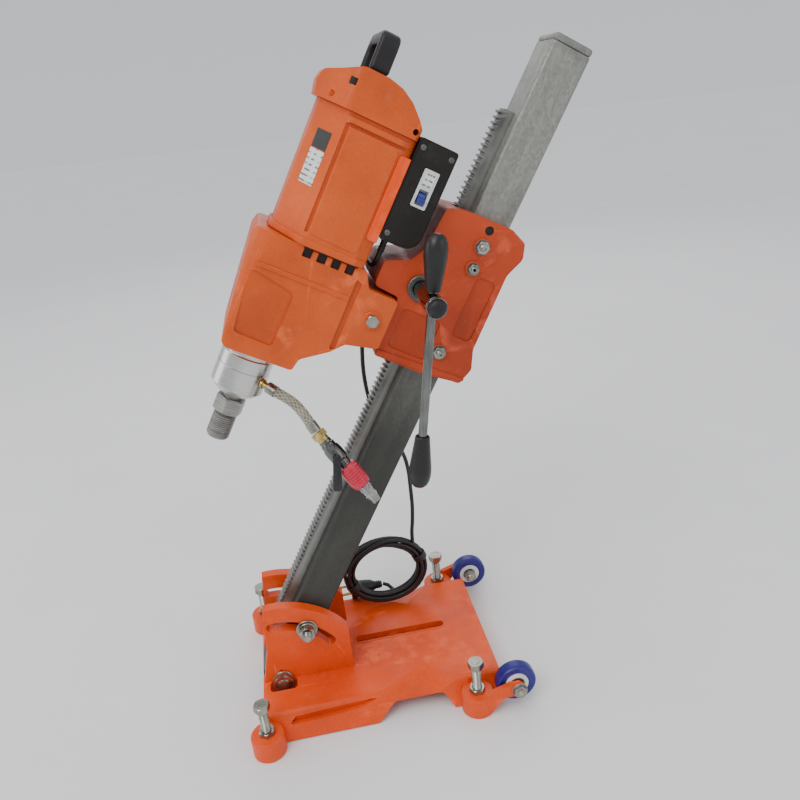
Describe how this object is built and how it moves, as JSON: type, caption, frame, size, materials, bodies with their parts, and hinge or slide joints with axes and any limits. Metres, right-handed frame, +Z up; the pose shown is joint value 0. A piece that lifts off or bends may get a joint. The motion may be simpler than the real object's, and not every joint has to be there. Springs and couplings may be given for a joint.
{
  "type": "core drill rig",
  "caption": "Wet core drill on a tilting rectangular column with a rack feed, a cross handle, a water tap, and a wheeled anchor base with levelling screws.",
  "frame": {"origin": "on the floor under the middle of the rig's bounding box, cords left out", "axes": "+Z up, +X to the rear where the wheels are, -Y the operator's side with the feed handle"},
  "size_m": [0.481, 0.29, 0.8044],
  "materials": {
    "orange_base": "satin",
    "orange_motor": "satin",
    "orange_carriage": "satin",
    "galvanised": "galvanised, satin",
    "dark_steel": "oiled",
    "zinc": "zinc plated",
    "bronze": "satin",
    "copper": "satin",
    "chrome": "polished",
    "aluminium": "turned",
    "brass": "satin",
    "black_plastic": "fine grain",
    "black_rubber": "matte",
    "blue_tyre": "satin",
    "white_plastic": "satin",
    "blue_plastic": "gloss",
    "clear_hose": "gloss",
    "red_plastic": "gloss"
  },
  "bodies": {
    "base": {"base_plate": "orange_base", "pivot_bolt": "zinc", "pivot_nut": "zinc", "wheel_axle_near": "zinc", "wheel_axle_far": "zinc", "cord_coil": "black_rubber", "power_plug": "black_rubber", "power_cord_lower": "black_rubber"},
    "screw_front_near": {"levelling_screw_front_near": "zinc"},
    "screw_front_far": {"levelling_screw_front_far": "zinc"},
    "screw_rear_near": {"levelling_screw_rear_near": "zinc"},
    "screw_rear_far": {"levelling_screw_rear_far": "zinc"},
    "wheel_near": {"wheel_tyre_near": "blue_tyre", "wheel_hub_near": "white_plastic"},
    "wheel_far": {"wheel_tyre_far": "blue_tyre", "wheel_hub_far": "white_plastic"},
    "column": {"column_tube": "galvanised", "column_cap": "galvanised", "gear_rack": "dark_steel", "clamp_bolt": "zinc", "clamp_washer": "zinc", "clamp_nut": "zinc"},
    "carriage": {"carriage_casting": "orange_carriage", "gib_strip_near": "bronze", "gib_strip_far": "bronze", "gib_screw_low": "zinc", "gib_screw_mid": "zinc", "gib_screw_high": "zinc", "pinion_bush_near": "dark_steel", "pinion_bush_far": "dark_steel", "gearbox_housing": "orange_motor", "motor_housing": "orange_motor", "end_cap": "orange_motor", "top_handle": "black_plastic", "mount_screw": "zinc", "switch_box": "black_plastic", "breaker_body": "white_plastic", "strain_relief": "black_rubber", "stator": "dark_steel", "motor_bearing_low": "zinc", "motor_bearing_top": "zinc", "spindle_bearing": "zinc", "water_collar": "aluminium", "hose_barb": "brass", "water_hose": "clear_hose", "hose_ferrule": "brass", "valve_body": "chrome", "quick_connector": "red_plastic", "power_cord_upper": "black_rubber"},
    "feed": {"feed_shaft": "chrome", "feed_hub_cap": "black_plastic"},
    "feed_bar": {"feed_bar": "chrome", "feed_grip_upper": "black_plastic", "feed_grip_lower": "black_plastic"},
    "armature": {"armature": "copper"},
    "idler": {"idler_shaft": "dark_steel"},
    "spindle": {"spindle": "dark_steel"},
    "breaker_lever": {"breaker_lever": "blue_plastic"},
    "valve_lever": {"valve_lever": "black_plastic"}
  },
  "joints": [
    {"name": "column_tilt", "type": "hinge", "parent": "base", "child": "column", "pos_m": [-0.19495, 0, 0.0405], "axis": [0, 1, 0], "range_deg": [-29.6, 15.4], "deforming": ["power_cord_lower"]},
    {"name": "carriage_slide", "type": "slide", "parent": "column", "child": "carriage", "axis": [0.4939, 0, 0.8695], "range_m": [-0.24, 0.08], "deforming": ["power_cord_upper"]},
    {"name": "feed_turn", "type": "hinge", "parent": "carriage", "child": "feed", "pos_m": [0.03361, 0, 0.54183], "axis": [0, 1, 0], "continuous": true},
    {"name": "feed_bar_slide", "type": "slide", "parent": "feed", "child": "feed_bar", "axis": [0.1495, 0, 0.9888], "range_m": [0, 0.13]},
    {"name": "armature_spin", "type": "hinge", "parent": "carriage", "child": "armature", "pos_m": [-0.03597, 0, 0.64024], "axis": [0.4939, 0, 0.8695], "continuous": true},
    {"name": "idler_spin", "type": "hinge", "parent": "carriage", "child": "idler", "pos_m": [-0.10379, 0.02622, 0.54076], "axis": [0.4939, 0, 0.8695], "continuous": true},
    {"name": "spindle_spin", "type": "hinge", "parent": "carriage", "child": "spindle", "pos_m": [-0.16475, 0, 0.48338], "axis": [0.4939, 0, 0.8695], "continuous": true},
    {"name": "breaker_switch", "type": "hinge", "parent": "carriage", "child": "breaker_lever", "pos_m": [0.03932, -0.058, 0.64117], "axis": [0.8695, 0, -0.4939], "range_deg": [-40, 0]},
    {"name": "valve_turn", "type": "hinge", "parent": "carriage", "child": "valve_lever", "pos_m": [-0.08517, -0.07221, 0.36506], "axis": [0, 1, 0], "range_deg": [0, 90]},
    {"name": "wheel_spin_near", "type": "hinge", "parent": "base", "child": "wheel_near", "pos_m": [0.10005, -0.1205, 0.034], "axis": [0, 1, 0], "continuous": true},
    {"name": "wheel_spin_far", "type": "hinge", "parent": "base", "child": "wheel_far", "pos_m": [0.10005, 0.1205, 0.034], "axis": [0, 1, 0], "continuous": true},
    {"name": "level_front_near", "type": "slide", "parent": "base", "child": "screw_front_near", "axis": [0, 0, 1], "range_m": [-0.03, 0.01]},
    {"name": "level_front_far", "type": "slide", "parent": "base", "child": "screw_front_far", "axis": [0, 0, 1], "range_m": [-0.03, 0.01]},
    {"name": "level_rear_near", "type": "slide", "parent": "base", "child": "screw_rear_near", "axis": [0, 0, 1], "range_m": [-0.03, 0.01]},
    {"name": "level_rear_far", "type": "slide", "parent": "base", "child": "screw_rear_far", "axis": [0, 0, 1], "range_m": [-0.03, 0.01]}
  ],
  "couplings": [
    {"joint": "feed_turn", "follows": "carriage_slide", "rad_per_m": 83.333},
    {"joint": "idler_spin", "follows": "armature_spin", "ratio": -0.29032},
    {"joint": "spindle_spin", "follows": "armature_spin", "ratio": 0.11166}
  ]
}
